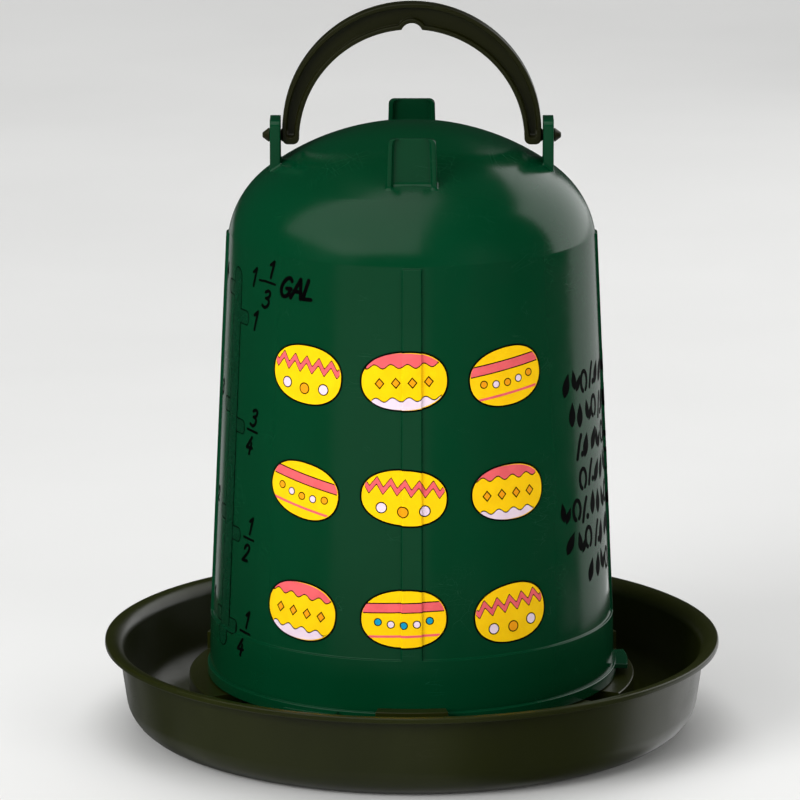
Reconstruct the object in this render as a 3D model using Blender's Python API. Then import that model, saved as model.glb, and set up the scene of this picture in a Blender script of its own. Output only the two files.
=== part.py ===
"""Poultry waterer fount: a drinking tray, a domed water fount that stands in it, and a carrying handle.

Run with: blender --background --python part.py
Metres, +Z up. The origin is the centre of the tray's underside, and the front of the object faces -Y.
Lengths below are written in millimetres and scaled once, by MM.
"""

import math

import bmesh
import bpy

MM = 0.001

# ---- tray -----------------------------------------------------------------------------------------
TRAY_SEGMENTS = 72
TRAY_LIP_R = 134.0          # outside of the rolled lip
TRAY_LIP_Z = 39.1           # top of the lip, above the floor
TRAY_LIP_BAND = 2.5         # height of the lip's outer edge
TRAY_WALL_R = 128.2         # outer wall, just under the lip
TRAY_WALL_TOP_Z = 36.8
TRAY_LEAN = math.radians(8.12)   # the wall leans in towards its foot
TRAY_CORNER_R = 15.3        # outside radius between wall and foot
TRAY_FOOT_R = 109.7         # flat foot ring, outer radius
TRAY_T = 2.0                # moulded wall thickness
FLARE_R = 6.5               # the wall's inside opens out into the lip

RING_R = 97.3               # raised ring that the fount stands on
RING_BORE_R = 82.0
RING_Z = 23.0
WELL_Z = 12.0               # floor inside the ring
WELL_T = 2.0
RING_EDGE = 0.8
RING_FILLET = 3.0
RING_POCKET = (84.2, 95.0, 21.0)   # hollow under the ring: inner radius, outer radius, ceiling

NOTCH_ANGLES = (-28.0, 92.0, 212.0)   # water channels through the ring
NOTCH_HALF = 5.2
NOTCH_Z = 12.4

CLIP_ANGLES = (30.0, 150.0, 270.0)    # bayonet clips
CLIP_HALF = 9.2
CLIP_TOP_Z = 31.0
CLIP_UNDER_Z = 28.6
CLIP_R = (90.2, 95.5, 97.0)           # nose, inside of post, outside of post

# ---- fount ----------------------------------------------------------------------------------------
FOUNT_SEGMENTS = 60         # 6 degrees a facet, so that a rib is exactly one facet wide
FOUNT_FOOT_Z = 23.4         # 0.4 mm above the ring
FLANGE_R = 89.3
FLANGE_TOP_Z = 28.4
SKIRT_R = 88.2
LEDGE_R = 87.8
LEDGE_Z = 51.1              # the four wall panels are sunk above this line
WALL_DRAFT = 0.047          # wall radius lost for each millimetre of height
PANEL_SINK = 1.05
RIB_TOP_Z = 218.5
CREASE_Z = 219.9            # where the wall meets the dome
FOUNT_T = 2.0
SHOULDER = (38.39, 212.19, 41.13)     # centre radius, centre height, arc radius
SHOULDER_START = math.radians(10.8)
SHOULDER_END = math.radians(52.79)
CROWN = (161.6, 104.61)               # centre height, radius
SHOULDER_STEPS = 7
CROWN_STEPS = 6

TAB_ANGLES = (2.0, 122.0, 242.0)      # bayonet tabs, turned clear of the clips
TAB_HALF = 7.6
TAB_Z = (25.8, 28.0)
TAB_R = (87.2, 94.5)

LUG_TOPS = (268.5, 266.5, 268.5, 269.9)    # right, rear, left, front
LUG_CORNER = 2.3
LUG_WALL = 2.1
LUG_ROOT = 1.0                         # how deep a lug is let into the 2 mm dome
FRONT_LUG = (53.6, 57.5, 20.2, 21.2)   # nearest and farthest radius, width at the top and at the root
REAR_LUG = (53.6, 57.5, 20.3, 20.9)
SIDE_LUG = (56.3, 60.8, 16.4, 16.8)
SIDE_CAP = 2.3                         # thickness that closes a side lug's channel at the top

# ---- handle ---------------------------------------------------------------------------------------
PIVOT_Z = 261.0
ARCH_OUTER = (263.0, 55.6)             # centre height and radius of the outer edge
ARCH_INNER = (259.1, 48.3)
LEG_X = (48.3, 55.4)
LEG_END_Z = 257.5
HANDLE_DEPTH = 8.6                     # along Y
HANDLE_WEB = 2.4
HANDLE_RIM = 1.8
HANG_NOTCH = (305.5, 4.65)             # centre height and radius of the hanging notch
PIN_R = 2.4
PIN_HOLE_R = 2.75
PIN_HEAD = (61.15, 2.95, 64.1, 1.1)    # head base x and radius, tip x and radius


# ---- helpers --------------------------------------------------------------------------------------
def clear():
    for obj in list(bpy.data.objects):
        bpy.data.objects.remove(obj, do_unlink=True)


def plastic(name, color, roughness):
    mat = bpy.data.materials.new(name)
    mat.use_nodes = True
    shader = mat.node_tree.nodes["Principled BSDF"]
    shader.inputs["Base Color"].default_value = (*color, 1.0)
    shader.inputs["Roughness"].default_value = roughness
    shader.inputs["Metallic"].default_value = 0.0
    mat.diffuse_color = (*color, 1.0)
    return mat


def arc(cr, cz, radius, start, end, steps):
    """Points on an arc about (cr, cz), both ends included, in radians."""
    return [
        (
            cr + radius * math.cos(start + (end - start) * i / steps),
            cz + radius * math.sin(start + (end - start) * i / steps),
        )
        for i in range(steps + 1)
    ]


def polar(radius, degrees, z):
    a = math.radians(degrees)
    return (radius * math.cos(a), radius * math.sin(a), z)


def finish(name, bm, mat, smooth=True):
    """Turns a bmesh in millimetres into an object in metres, shaded smooth except at corners."""
    bmesh.ops.remove_doubles(bm, verts=bm.verts, dist=1e-4)
    bmesh.ops.recalc_face_normals(bm, faces=bm.faces)
    bmesh.ops.scale(bm, vec=(MM, MM, MM), verts=bm.verts)
    mesh = bpy.data.meshes.new(name)
    bm.to_mesh(mesh)
    bm.free()
    if smooth:
        mesh.shade_smooth()
        mesh.set_sharp_from_angle(angle=math.radians(35))
    mesh.materials.append(mat)
    obj = bpy.data.objects.new(name, mesh)
    bpy.context.scene.collection.objects.link(obj)
    return obj


def spin_outline(outline, segments, start=0.0):
    """Spins an outline that starts and ends on the Z axis into one closed body."""
    bm = bmesh.new()
    verts = [bm.verts.new(polar(r, start, z)) for r, z in outline]
    edges = [bm.edges.new(pair) for pair in zip(verts, verts[1:])]
    bmesh.ops.spin(
        bm,
        geom=verts + edges,
        cent=(0, 0, 0),
        axis=(0, 0, 1),
        angle=2 * math.pi,
        steps=segments,
        use_merge=True,
    )
    bmesh.ops.remove_doubles(bm, verts=bm.verts, dist=1e-4)
    return bm


def skin(bm, loops, closed=False):
    """Bridges equal loops of points in order. Open chains of loops get a cap at each end."""
    rings = [[bm.verts.new(p) for p in loop] for loop in loops]
    pairs = list(zip(rings, rings[1:]))
    if closed:
        pairs.append((rings[-1], rings[0]))
    for a, b in pairs:
        for i in range(len(a)):
            j = (i + 1) % len(a)
            bm.faces.new((a[i], a[j], b[j], b[i]))
    if not closed:
        bm.faces.new(rings[0])
        bm.faces.new(rings[-1])


def arc_block(bm, outline, middle, half, steps):
    """Sweeps a small (radius, height) outline about the Z axis between two angles."""
    skin(
        bm,
        [
            [polar(r, middle - half + 2 * half * i / steps, z) for r, z in outline]
            for i in range(steps + 1)
        ],
    )


def box_outline(r0, r1, z0, z1):
    return [(r0, z0), (r1, z0), (r1, z1), (r0, z1)]


def combine(target, tool, operation):
    """A Boolean that stays on the target. The tool is kept as a hidden wire helper."""
    mod = target.modifiers.new(tool.name, "BOOLEAN")
    mod.operation = operation
    mod.solver = "EXACT"
    mod.object = tool
    tool.hide_render = True
    tool.display_type = "WIRE"


def wall_r(z):
    """Radius of the fount's wall before its panels are sunk."""
    return LEDGE_R - WALL_DRAFT * (z - LEDGE_Z)


def dome_z(r):
    """Height of the dome's outer surface at a radius."""
    cr, cz, radius = SHOULDER
    if r < cr + radius * math.cos(SHOULDER_END):
        return CROWN[0] + math.sqrt(CROWN[1] ** 2 - r * r)
    return cz + math.sqrt(max(0.0, radius**2 - (r - cr) ** 2))


# ---- tray -----------------------------------------------------------------------------------------
def tray_outline():
    """From the axis under the base, round the outside and the lip, and back along the top."""
    lean = TRAY_LEAN
    inner_r = TRAY_CORNER_R - TRAY_T
    lip_low = TRAY_LIP_Z - TRAY_LIP_BAND
    points = [(0, WELL_Z - WELL_T), (95.3, WELL_Z - WELL_T), (95.3, 0)]
    points += arc(TRAY_FOOT_R, TRAY_CORNER_R, TRAY_CORNER_R, -math.pi / 2, -lean, 5)
    points += [(TRAY_WALL_R, TRAY_WALL_TOP_Z)]
    points += [
        (TRAY_LIP_R - 0.4, lip_low),
        (TRAY_LIP_R, lip_low + 0.4),
        (TRAY_LIP_R, TRAY_LIP_Z - 0.5),
        (TRAY_LIP_R - 0.5, TRAY_LIP_Z),
    ]
    flare_cr = TRAY_LIP_R - 1.9
    points += arc(
        flare_cr, TRAY_LIP_Z - FLARE_R, FLARE_R, math.pi / 2, math.pi - lean, 4
    )
    points += arc(TRAY_FOOT_R, TRAY_CORNER_R, inner_r, -lean, -math.pi / 2, 5)
    points += arc(
        RING_R + RING_FILLET, TRAY_T + RING_FILLET, RING_FILLET, -math.pi / 2, -math.pi, 2
    )
    points += [
        (RING_R, RING_Z - RING_EDGE),
        (RING_R - RING_EDGE, RING_Z),
        (RING_BORE_R + RING_EDGE, RING_Z),
        (RING_BORE_R, RING_Z - RING_EDGE),
        (RING_BORE_R, WELL_Z),
        (0, WELL_Z),
    ]
    return points


def make_tray(mat):
    tray = finish("tray", spin_outline(tray_outline(), TRAY_SEGMENTS), mat)

    nose, post_in, post_out = CLIP_R
    clip = [
        (post_in, RING_Z - 1.2),
        (post_out, RING_Z - 1.2),
        (post_out, CLIP_TOP_Z - 0.5),
        (post_out - 0.5, CLIP_TOP_Z),
        (nose, CLIP_TOP_Z),
        (nose, CLIP_UNDER_Z),
        (post_in, CLIP_UNDER_Z),
    ]
    bm = bmesh.new()
    for angle in CLIP_ANGLES:
        arc_block(bm, clip, angle, CLIP_HALF, 4)
    combine(tray, finish("tool_clips", bm, mat, False), "UNION")

    bm = bmesh.new()
    for angle in NOTCH_ANGLES:
        arc_block(bm, box_outline(79.0, 99.0, NOTCH_Z, RING_Z + 3), angle, NOTCH_HALF, 2)
    combine(tray, finish("tool_channels", bm, mat, False), "DIFFERENCE")

    # the ring is hollow underneath, in three lengths between the channels
    r0, r1, top = RING_POCKET
    bm = bmesh.new()
    for angle in NOTCH_ANGLES:
        arc_block(
            bm, box_outline(r0, r1, WELL_Z - WELL_T - 1.0, top), angle + 60.0, 60.0 - NOTCH_HALF - 1.4, 18
        )
    combine(tray, finish("tool_ring_pockets", bm, mat, False), "DIFFERENCE")
    return tray


# ---- fount ----------------------------------------------------------------------------------------
def dome_points(offset, steps_shoulder, steps_crown):
    """The dome's outline from the crease to the axis, moved in by offset."""
    cr, cz, radius = SHOULDER
    top, crown = CROWN
    points = arc(cr, cz, radius - offset, SHOULDER_START, SHOULDER_END, steps_shoulder)
    points += arc(0.0, top, crown - offset, SHOULDER_END, math.pi / 2, steps_crown)[1:]
    points[-1] = (0.0, points[-1][1])
    return points


def fount_columns():
    """Angles of the mesh's columns. A rib's two edges each hold a panel column and a rib column."""
    step = 360.0 / FOUNT_SEGMENTS
    columns = []
    for i in range(FOUNT_SEGMENTS):
        a = step / 2 + i * step
        if abs((a + step / 2) % 90.0) < 1e-6:
            columns += [(a, False), (a, True)]
        elif abs((a - step / 2) % 90.0) < 1e-6:
            columns += [(a, True), (a, False)]
        else:
            columns += [(a, False)]
    return columns


def make_fount(mat):
    # each row is the radius on a panel, the radius on a rib, and the height
    rows = [(r, r, z) for r, z in [
        (SKIRT_R - FOUNT_T - 0.2, FOUNT_FOOT_Z),
        (FLANGE_R - 0.5, FOUNT_FOOT_Z),
        (FLANGE_R, FOUNT_FOOT_Z + 0.5),
        (FLANGE_R, FLANGE_TOP_Z - 0.8),
        (FLANGE_R - 0.5, FLANGE_TOP_Z),
        (SKIRT_R, FLANGE_TOP_Z + 0.2),
        (LEDGE_R, LEDGE_Z),
    ]]
    rows.append((LEDGE_R - PANEL_SINK, LEDGE_R, LEDGE_Z))
    rows.append((wall_r(RIB_TOP_Z) - PANEL_SINK, wall_r(RIB_TOP_Z), RIB_TOP_Z))
    top = wall_r(RIB_TOP_Z + 0.5) - PANEL_SINK
    rows.append((top, top, RIB_TOP_Z + 0.5))
    rows += [(r, r, z) for r, z in dome_points(0.0, SHOULDER_STEPS, CROWN_STEPS)]
    inner = dome_points(FOUNT_T, SHOULDER_STEPS, CROWN_STEPS)[::-1]
    inner.append((LEDGE_R - PANEL_SINK - FOUNT_T, LEDGE_Z + 1.0))
    inner.append((LEDGE_R - FOUNT_T, LEDGE_Z - 2.0))
    rows += [(r, r, z) for r, z in inner]

    bm = bmesh.new()
    known = {}

    def vertex(r, angle, z):
        key = (round(r, 4), 0.0 if r < 1e-6 else round(angle, 4), round(z, 4))
        if key not in known:
            known[key] = bm.verts.new(polar(r, angle, z))
        return known[key]

    columns = fount_columns()
    for (a0, rib0), (a1, rib1) in zip(columns, columns[1:] + columns[:1]):
        for low, high in zip(rows, rows[1:] + rows[:1]):
            corners = []
            for row, angle, rib in ((low, a0, rib0), (low, a1, rib1), (high, a1, rib1), (high, a0, rib0)):
                v = vertex(row[1] if rib else row[0], angle, row[2])
                if v not in corners:
                    corners.append(v)
            if len(corners) > 2:
                bm.faces.new(corners)
    fount = finish("fount", bm, mat)

    bm = bmesh.new()
    for angle in TAB_ANGLES:
        arc_block(bm, box_outline(TAB_R[0], TAB_R[1], *TAB_Z), angle, TAB_HALF, 3)
    for direction in range(4):
        lug(bm, direction)
    combine(fount, finish("tool_tabs_and_lugs", bm, mat, False), "UNION")

    # the channels of the two side lugs are closed at the top
    near, far, top_w, _ = SIDE_LUG
    low, high = top_w / 2 - 1.0, top_w / 2 - LUG_CORNER - 1.0
    bm = bmesh.new()
    for side in (-1, 1):
        top_z = LUG_TOPS[0]
        skin(bm, [
            [(side * x, y, z) for x, y in ((near, -w), (far - 1.0, -w), (far - 1.0, w), (near, w))]
            for z, w in ((top_z - SIDE_CAP, low), (top_z, high))
        ])
    combine(fount, finish("tool_side_caps", bm, mat, False), "UNION")

    bm = bmesh.new()
    for side in (-1, 1):
        rod(bm, [(side * 54.0, PIN_HOLE_R), (side * 66.0, PIN_HOLE_R)])
    combine(fount, finish("tool_pin_holes", bm, mat, False), "DIFFERENCE")
    return fount


def channel(width, depth):
    """Section of a lug: a shallow channel with rounded inside corners, its back at v = depth."""
    half, inner = width / 2, width / 2 - LUG_WALL
    back = depth - LUG_WALL
    soft = min(back, 1.6)
    points = [(-half, 0), (-inner, 0)]
    points += [(-inner, back - soft), (-inner + 0.3 * soft, back - 0.3 * soft), (-inner + soft, back)]
    points += [(inner - soft, back), (inner - 0.3 * soft, back - 0.3 * soft), (inner, back - soft)]
    points += [(inner, 0), (half, 0), (half, depth), (-half, depth)]
    return points


def lug(bm, direction):
    """One lug on the dome: 0 is +X, 1 is +Y, 2 is -X, 3 is -Y. Only the front lug opens outwards."""
    near, far, top_w, root_w = (SIDE_LUG, REAR_LUG, SIDE_LUG, FRONT_LUG)[direction]
    top_z = LUG_TOPS[direction]
    angle = math.radians(90 * direction)
    c, s = round(math.cos(angle)), round(math.sin(angle))
    loops = []
    for z, width in (
        (None, root_w),
        (top_z - LUG_CORNER, top_w),
        (top_z - LUG_CORNER * 0.3, top_w - LUG_CORNER * 0.6),
        (top_z, top_w - LUG_CORNER * 2),
    ):
        loop = []
        for u, v in channel(width, far - near):
            r = far - v if direction == 3 else near + v
            x, y = c * r - s * u, s * r + c * u
            loop.append((x, y, dome_z(math.hypot(x, y)) - LUG_ROOT if z is None else z))
        loops.append(loop)
    skin(bm, loops)


def rod(bm, stations, sides=16):
    """A round bar along X at the handle's pivot, through (x, radius) stations."""
    loops = []
    for x, radius in stations:
        loops.append([
            (
                x,
                radius * math.cos(2 * math.pi * (i + 0.5) / sides),
                PIVOT_Z + radius * math.sin(2 * math.pi * (i + 0.5) / sides),
            )
            for i in range(sides)
        ])
    skin(bm, loops)


# ---- handle ---------------------------------------------------------------------------------------
def arch_point(arch, degrees):
    centre, radius = arch
    a = math.radians(degrees)
    return radius * math.cos(a), centre + radius * math.sin(a)


def handle_stations():
    """Outer and inner edge points of the handle, in X and Z, from the right leg's end to the left's."""
    right = []
    outer_x, inner_x = LEG_X[1], LEG_X[0]
    end = LEG_END_Z
    right.append(((outer_x - 1.9, end), (inner_x + 2.4, end), True))
    right.append(((outer_x - 0.5, end + 0.7), (inner_x + 0.8, end + 0.8), True))
    right.append(((outer_x, end + 2.2), (inner_x, end + 2.6), True))
    right.append(((outer_x + 0.1, end + 3.2), (inner_x, end + 3.6), False))
    for degrees in (7, 14, 21, 28, 35, 42, 49, 56, 63, 70, 76, 81):
        right.append((arch_point(ARCH_OUTER, degrees), arch_point(ARCH_INNER, degrees), False))
    notch_z, notch_r = HANG_NOTCH
    mouth = math.sqrt(notch_r**2 - (ARCH_INNER[0] + ARCH_INNER[1] - 0.2 - notch_z) ** 2)
    for x in (mouth + 0.6, mouth, mouth * 0.8, mouth * 0.45):
        z = ARCH_INNER[0] + math.sqrt(ARCH_INNER[1] ** 2 - x * x)
        if x <= mouth:
            z = max(z, notch_z + math.sqrt(max(0.0, notch_r**2 - x * x)))
        a = math.atan2(z - ARCH_OUTER[0], x)
        right.append(((ARCH_OUTER[1] * math.cos(a), ARCH_OUTER[0] + ARCH_OUTER[1] * math.sin(a)), (x, z), False))
    middle = [((0.0, ARCH_OUTER[0] + ARCH_OUTER[1]), (0.0, notch_z + notch_r), False)]
    left = [((-o[0], o[1]), (-i[0], i[1]), solid) for o, i, solid in reversed(right)]
    return right + middle + left


def inner_rim(x, z):
    """The rim of the web's recess on the handle's inside, which also runs round the hanging notch."""
    notch_z, notch_r = HANG_NOTCH
    centre, radius = ARCH_INNER
    length = math.hypot(x, z - centre)
    if z > centre + 5:
        grow = (radius + HANDLE_RIM) / radius
        if abs(x) < notch_r + HANDLE_RIM:
            around = notch_z + math.sqrt((notch_r + HANDLE_RIM) ** 2 - x * x)
            plain = centre + math.sqrt((radius + HANDLE_RIM) ** 2 - x * x)
            return x, max(around, plain)
        return x * grow, centre + (z - centre) * grow
    return x + math.copysign(HANDLE_RIM, x), z + 0.0 * length


def outer_rim(x, z):
    centre, radius = ARCH_OUTER
    if z > centre + 5:
        grow = (radius - HANDLE_RIM) / radius
        return x * grow, centre + (z - centre) * grow
    return x - math.copysign(HANDLE_RIM, x), z


def make_handle(mat):
    d, w = HANDLE_DEPTH / 2, HANDLE_WEB / 2
    bm = bmesh.new()
    stations = handle_stations()
    rows = []
    for (ox, oz), (ix, iz), solid in stations:
        rows.append((((ox, oz), outer_rim(ox, oz), inner_rim(ix, iz), (ix, iz)), solid))
    for k, (pts, solid) in enumerate(rows):
        if solid:
            # inside the rounded leg ends the rim points only divide the flat faces
            o, _, _, i = pts
            pts = (o, (o[0] * 0.72 + i[0] * 0.28, o[1] * 0.72 + i[1] * 0.28),
                   (o[0] * 0.28 + i[0] * 0.72, o[1] * 0.28 + i[1] * 0.72), i)
            rows[k] = (pts, True)

    def ring(pts, solid):
        o, p, q, i = pts
        front = [bm.verts.new((v[0], -d, v[1])) for v in (o, p, q, i)]
        back = [bm.verts.new((v[0], d, v[1])) for v in (o, p, q, i)]
        if solid:
            return front, back, None, None
        deep_front = [bm.verts.new((v[0], -w, v[1])) for v in (p, q)]
        deep_back = [bm.verts.new((v[0], w, v[1])) for v in (p, q)]
        return front, back, deep_front, deep_back

    rings = [ring(*row) for row in rows]
    for a, b in zip(rings, rings[1:]):
        for side in (0, 1):
            fa, fb = a[side], b[side]
            bm.faces.new((fa[0], fa[1], fb[1], fb[0]))
            bm.faces.new((fa[2], fa[3], fb[3], fb[2]))
            da, db = a[side + 2], b[side + 2]
            if da and db:
                bm.faces.new((fa[1], da[0], db[0], fb[1]))
                bm.faces.new((da[0], da[1], db[1], db[0]))
                bm.faces.new((da[1], fa[2], fb[2], db[1]))
            else:
                bm.faces.new((fa[1], fa[2], fb[2], fb[1]))
                if da or db:
                    f, deep = (fa, da) if da else (fb, db)
                    bm.faces.new((f[1], f[2], deep[1], deep[0]))
        bm.faces.new((a[0][0], b[0][0], b[1][0], a[1][0]))
        bm.faces.new((a[0][3], b[0][3], b[1][3], a[1][3]))
    for end in (rings[0], rings[-1]):
        bm.faces.new(end[0] + end[1][::-1])
    handle = finish("handle", bm, mat)

    bm = bmesh.new()
    head_x, head_r, tip_x, tip_r = PIN_HEAD
    for side in (-1, 1):
        rod(bm, [
            (side * 53.0, PIN_R),
            (side * (head_x - 0.25), PIN_R),
            (side * head_x, head_r),
            (side * (head_x + 0.4), head_r),
            (side * tip_x, tip_r),
        ])
    combine(handle, finish("tool_pins", bm, mat, False), "UNION")
    return handle


def set_origin(obj, x, y, z):
    """Moves an object's origin to a point on its joint's axis, leaving its shape where it is."""
    for v in obj.data.vertices:
        v.co.x -= x
        v.co.y -= y
        v.co.z -= z
    obj.location = (x, y, z)


def main():
    clear()
    green = plastic("fount_green", (0.004, 0.060, 0.034), 0.28)
    olive = plastic("tray_olive", (0.016, 0.017, 0.008), 0.38)
    olive_handle = plastic("handle_olive", (0.016, 0.017, 0.008), 0.36)
    make_tray(olive)
    make_fount(green)
    handle = make_handle(olive_handle)
    set_origin(handle, 0.0, 0.0, PIVOT_Z * MM)


main()
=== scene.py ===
"""Looks of the poultry waterer: fine meshes, printed decoration, materials, light and camera."""

import math

import bmesh
import bpy
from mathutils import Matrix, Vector


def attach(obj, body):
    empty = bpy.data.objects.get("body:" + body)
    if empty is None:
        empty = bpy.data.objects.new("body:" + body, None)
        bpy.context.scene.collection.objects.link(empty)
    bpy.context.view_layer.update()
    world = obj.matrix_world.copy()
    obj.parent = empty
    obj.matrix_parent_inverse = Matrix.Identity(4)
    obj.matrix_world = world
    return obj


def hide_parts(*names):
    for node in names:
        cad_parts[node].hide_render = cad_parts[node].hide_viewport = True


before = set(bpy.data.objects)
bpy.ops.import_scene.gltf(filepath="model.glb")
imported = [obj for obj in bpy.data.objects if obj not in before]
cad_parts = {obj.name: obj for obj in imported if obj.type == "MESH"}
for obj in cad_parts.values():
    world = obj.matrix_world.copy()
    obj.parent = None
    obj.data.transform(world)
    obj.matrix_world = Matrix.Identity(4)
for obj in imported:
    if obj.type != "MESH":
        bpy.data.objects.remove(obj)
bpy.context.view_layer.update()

MM = 0.001
SCENE = bpy.context.scene

# ---- measures, in millimetres, the same as the CAD's -----------------------------------------------
TRAY_LIP_R, TRAY_LIP_Z, TRAY_LIP_BAND = 134.0, 39.1, 2.5
TRAY_WALL_R, TRAY_WALL_TOP_Z = 128.2, 36.8
TRAY_LEAN = math.radians(8.12)
TRAY_CORNER_R, TRAY_FOOT_R, TRAY_T, FLARE_R = 15.3, 109.7, 2.0, 6.5
RING_R, RING_BORE_R, RING_Z = 97.3, 82.0, 23.0
WELL_Z, WELL_T, RING_FILLET = 12.0, 2.0, 3.0
RING_POCKET = (84.2, 95.0, 21.0)
NOTCH_ANGLES, NOTCH_HALF, NOTCH_Z = (-28.0, 92.0, 212.0), 5.2, 12.4
CLIP_ANGLES, CLIP_HALF = (30.0, 150.0, 270.0), 9.2
CLIP_TOP_Z, CLIP_UNDER_Z, CLIP_R = 31.0, 28.6, (90.2, 95.5, 97.0)

FOUNT_FOOT_Z, FLANGE_R, FLANGE_TOP_Z = 23.4, 89.3, 28.4
SKIRT_R, LEDGE_R, LEDGE_Z = 88.2, 87.8, 51.1
WALL_DRAFT, PANEL_SINK = 0.047, 1.05
RIB_TOP_Z, FOUNT_T, RIB_HALF = 218.5, 2.0, 3.0
SHOULDER = (38.39, 212.19, 41.13)
SHOULDER_START, SHOULDER_END = math.radians(10.8), math.radians(52.79)
CROWN = (161.6, 104.61)
TAB_ANGLES, TAB_HALF, TAB_Z, TAB_R = (2.0, 122.0, 242.0), 7.6, (25.8, 28.0), (87.2, 94.5)
LUG_TOPS, LUG_CORNER, LUG_WALL = (268.5, 266.5, 268.5, 269.9), 2.3, 2.1
FRONT_LUG = (53.6, 57.5, 20.2, 21.2)
REAR_LUG = (53.6, 57.5, 20.3, 20.9)
SIDE_LUG, SIDE_CAP = (56.3, 60.8, 16.4, 16.8), 2.3

PIVOT_Z = 261.0
ARCH_OUTER, ARCH_INNER = (263.0, 55.6), (259.1, 48.3)
LEG_X, LEG_END_Z = (48.3, 55.4), 257.5
HANDLE_HALF, WEB_HALF, RIM = 4.3, 1.2, 1.8
HANG_NOTCH = (305.5, 4.65)
PIN_R, PIN_HOLE_R = 2.4, 2.75


# ---- mesh helpers ----------------------------------------------------------------------------------
def polar(radius, degrees, z):
    a = math.radians(degrees)
    return (radius * math.cos(a), radius * math.sin(a), z)


def arc(cr, cz, radius, start, end, steps):
    return [
        (
            cr + radius * math.cos(start + (end - start) * i / steps),
            cz + radius * math.sin(start + (end - start) * i / steps),
        )
        for i in range(steps + 1)
    ]


def smooth(t):
    t = min(1.0, max(0.0, t))
    return t * t * (3 - 2 * t)


def round_corners(points, closed=True):
    """Rounds the corners of an outline. Each point is (x, y) or (x, y, radius, steps)."""
    out = []
    n = len(points)
    for i, p in enumerate(points):
        if len(p) == 2 or (not closed and i in (0, n - 1)):
            out.append((p[0], p[1]))
            continue
        here = Vector(p[:2])
        before, after = Vector(points[i - 1][:2]), Vector(points[(i + 1) % n][:2])
        a, b = (before - here), (after - here)
        half = a.angle(b) / 2
        reach = min(p[2] / math.tan(half), a.length * 0.49, b.length * 0.49)
        radius = reach * math.tan(half)
        a.normalize()
        b.normalize()
        centre = here + (a + b).normalized() * (radius / math.sin(half))
        start, end = here + a * reach - centre, here + b * reach - centre
        turn = start.angle_signed(end)
        base = math.atan2(start.y, start.x)
        for k in range(p[3] + 1):
            angle = base - turn * k / p[3]
            out.append((centre.x + radius * math.cos(angle), centre.y + radius * math.sin(angle)))
    return out


def grow(points, amount):
    """Moves a closed outline outwards, keeping its point count."""
    n = len(points)
    area = sum(points[i][0] * points[(i + 1) % n][1] - points[(i + 1) % n][0] * points[i][1] for i in range(n))
    sign = 1 if area > 0 else -1
    out = []
    for i in range(n):
        p, q, r = (Vector(points[j % n]) for j in (i - 1, i, i + 1))
        a, b = (q - p), (r - q)
        if a.length < 1e-6 or b.length < 1e-6:
            d = a if a.length > b.length else b
            normal = Vector((d.y, -d.x)).normalized()
        else:
            a.normalize()
            b.normalize()
            normal = Vector((a.y + b.y, -a.x - b.x))
            normal = normal.normalized() / max(0.6, math.cos(a.angle(b) / 2))
        out.append((q.x + sign * amount * normal.x, q.y + sign * amount * normal.y))
    return out


def make(name, bm, degrees=28):
    """Turns a bmesh in millimetres into an object in metres."""
    bmesh.ops.remove_doubles(bm, verts=bm.verts, dist=1e-4)
    bmesh.ops.recalc_face_normals(bm, faces=bm.faces)
    bmesh.ops.scale(bm, vec=(MM, MM, MM), verts=bm.verts)
    mesh = bpy.data.meshes.new(name)
    bm.to_mesh(mesh)
    bm.free()
    obj = bpy.data.objects.new(name, mesh)
    SCENE.collection.objects.link(obj)
    shade(obj, degrees)
    return obj


def shade(obj, degrees=28):
    obj.data.shade_smooth()
    obj.data.set_sharp_from_angle(angle=math.radians(degrees))


def boolean(target, tool, operation):
    mod = target.modifiers.new("cut", "BOOLEAN")
    mod.operation, mod.solver, mod.object = operation, "EXACT", tool
    bake(target)
    bpy.data.objects.remove(tool, do_unlink=True)


def bake(obj):
    """Applies every modifier."""
    graph = bpy.context.evaluated_depsgraph_get()
    mesh = bpy.data.meshes.new_from_object(obj.evaluated_get(graph))
    mesh.name = obj.name
    obj.modifiers.clear()
    obj.data = mesh


def tidy(obj):
    """Merges the slivers that a Boolean leaves, and shades the result."""
    bm = bmesh.new()
    bm.from_mesh(obj.data)
    bmesh.ops.remove_doubles(bm, verts=bm.verts, dist=4e-6)
    bmesh.ops.dissolve_degenerate(bm, edges=bm.edges, dist=2e-6)
    gaps = [e for e in bm.edges if e.is_boundary]
    if gaps:
        bmesh.ops.holes_fill(bm, edges=gaps, sides=0)
    loose = [v for v in bm.verts if not v.link_faces]
    bmesh.ops.delete(bm, geom=loose, context="VERTS")
    bmesh.ops.recalc_face_normals(bm, faces=bm.faces)
    bm.to_mesh(obj.data)
    bm.free()
    shade(obj)
    mod = obj.modifiers.new("normals", "WEIGHTED_NORMAL")
    mod.keep_sharp = True
    mod.weight = 80
    bake(obj)


def spin(outline, segments):
    bm = bmesh.new()
    verts = [bm.verts.new((r, 0.0, z)) for r, z in outline]
    edges = [bm.edges.new(pair) for pair in zip(verts, verts[1:])]
    bmesh.ops.spin(
        bm, geom=verts + edges, cent=(0, 0, 0), axis=(0, 0, 1), angle=2 * math.pi, steps=segments, use_merge=True
    )
    bmesh.ops.remove_doubles(bm, verts=bm.verts, dist=1e-4)
    return bm


def skin(bm, loops):
    """Bridges equal loops of points in order, with a cap at each end."""
    rings = [[bm.verts.new(p) for p in loop] for loop in loops]
    for a, b in zip(rings, rings[1:]):
        for i in range(len(a)):
            j = (i + 1) % len(a)
            bm.faces.new((a[i], a[j], b[j], b[i]))
    bm.faces.new(rings[0])
    bm.faces.new(rings[-1])


def arc_block(bm, outline, middle, half, steps):
    skin(
        bm,
        [
            [polar(r, middle - half + 2 * half * i / steps, z) for r, z in outline]
            for i in range(steps + 1)
        ],
    )


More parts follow.
